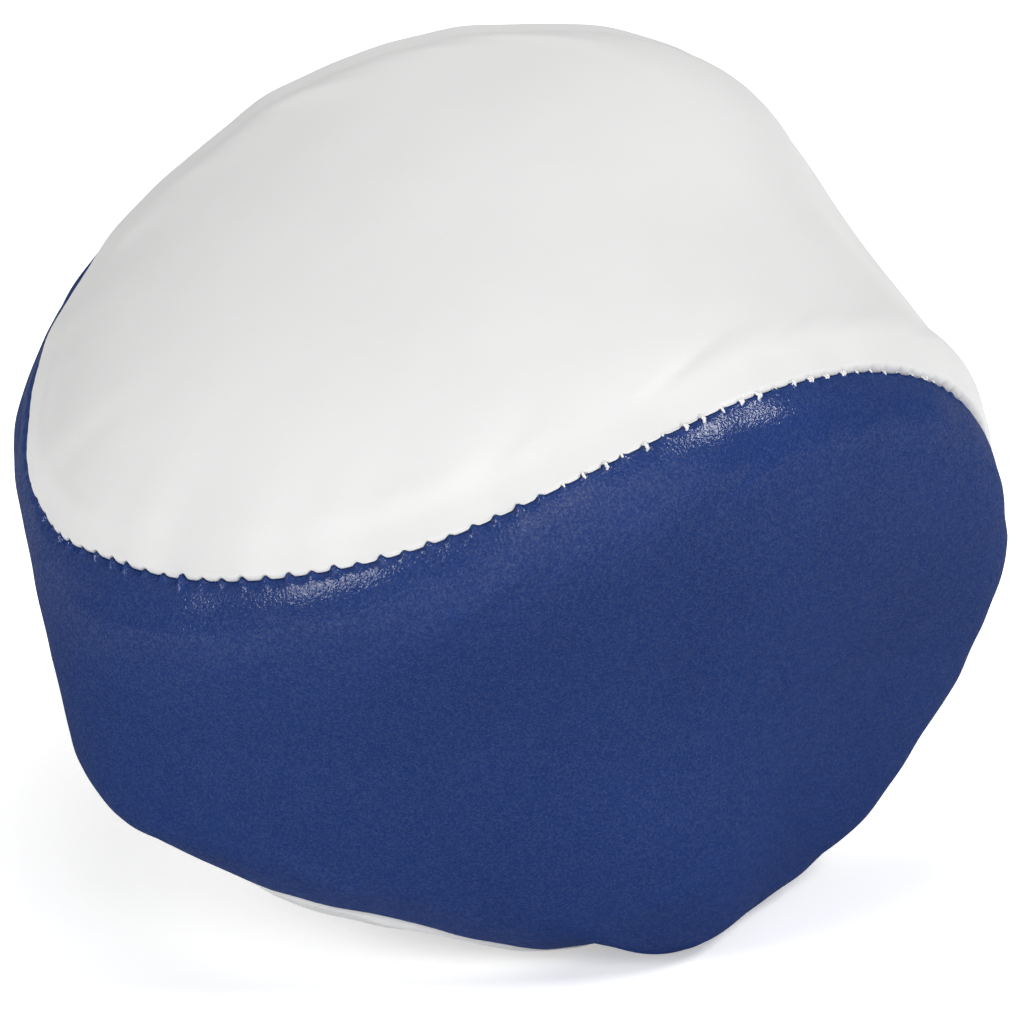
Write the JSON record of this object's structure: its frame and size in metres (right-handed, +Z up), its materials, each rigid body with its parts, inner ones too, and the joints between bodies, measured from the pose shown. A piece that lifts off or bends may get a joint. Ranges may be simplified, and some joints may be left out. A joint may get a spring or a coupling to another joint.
{
  "type": "footbag",
  "caption": "Small round kick bag of white and blue vinyl panels sewn edge to edge along one winding seam, filled with loose pellets and slumped flat where it rests.",
  "frame": {"origin": "middle of the bounding box in X and Y, on the ground under the bag", "axes": "+Z up, +X to the right and -Y to the front, as pictured"},
  "size_m": [0.0576, 0.053, 0.0479],
  "materials": {
    "white_vinyl": "satin white vinyl",
    "blue_vinyl": "satin blue vinyl with a fine grain",
    "white_thread": "white polyester sewing thread",
    "pellets": "natural plastic pellets"
  },
  "bodies": {
    "cover": {"white_panel": "white_vinyl", "blue_panel": "blue_vinyl", "seam_thread": "white_thread", "closing_thread": "white_thread"},
    "fill": {"pellet_01": "pellets", "pellet_02": "pellets", "pellet_03": "pellets", "pellet_04": "pellets", "pellet_05": "pellets", "pellet_06": "pellets", "pellet_07": "pellets", "pellet_08": "pellets", "pellet_09": "pellets", "pellet_10": "pellets", "pellet_11": "pellets", "pellet_12": "pellets", "pellet_13": "pellets", "pellet_14": "pellets", "pellet_15": "pellets", "pellet_16": "pellets", "pellet_17": "pellets", "pellet_18": "pellets", "pellet_19": "pellets", "pellet_20": "pellets", "pellet_21": "pellets", "pellet_22": "pellets", "pellet_23": "pellets", "pellet_24": "pellets", "pellet_25": "pellets", "pellet_26": "pellets", "pellet_27": "pellets", "pellet_28": "pellets", "pellet_bed": "pellets"}
  },
  "joints": [
    {"name": "fill_shift", "type": "slide", "parent": "cover", "child": "fill", "axis": [0, 0, 1], "range_m": [0, 0.002]}
  ]
}
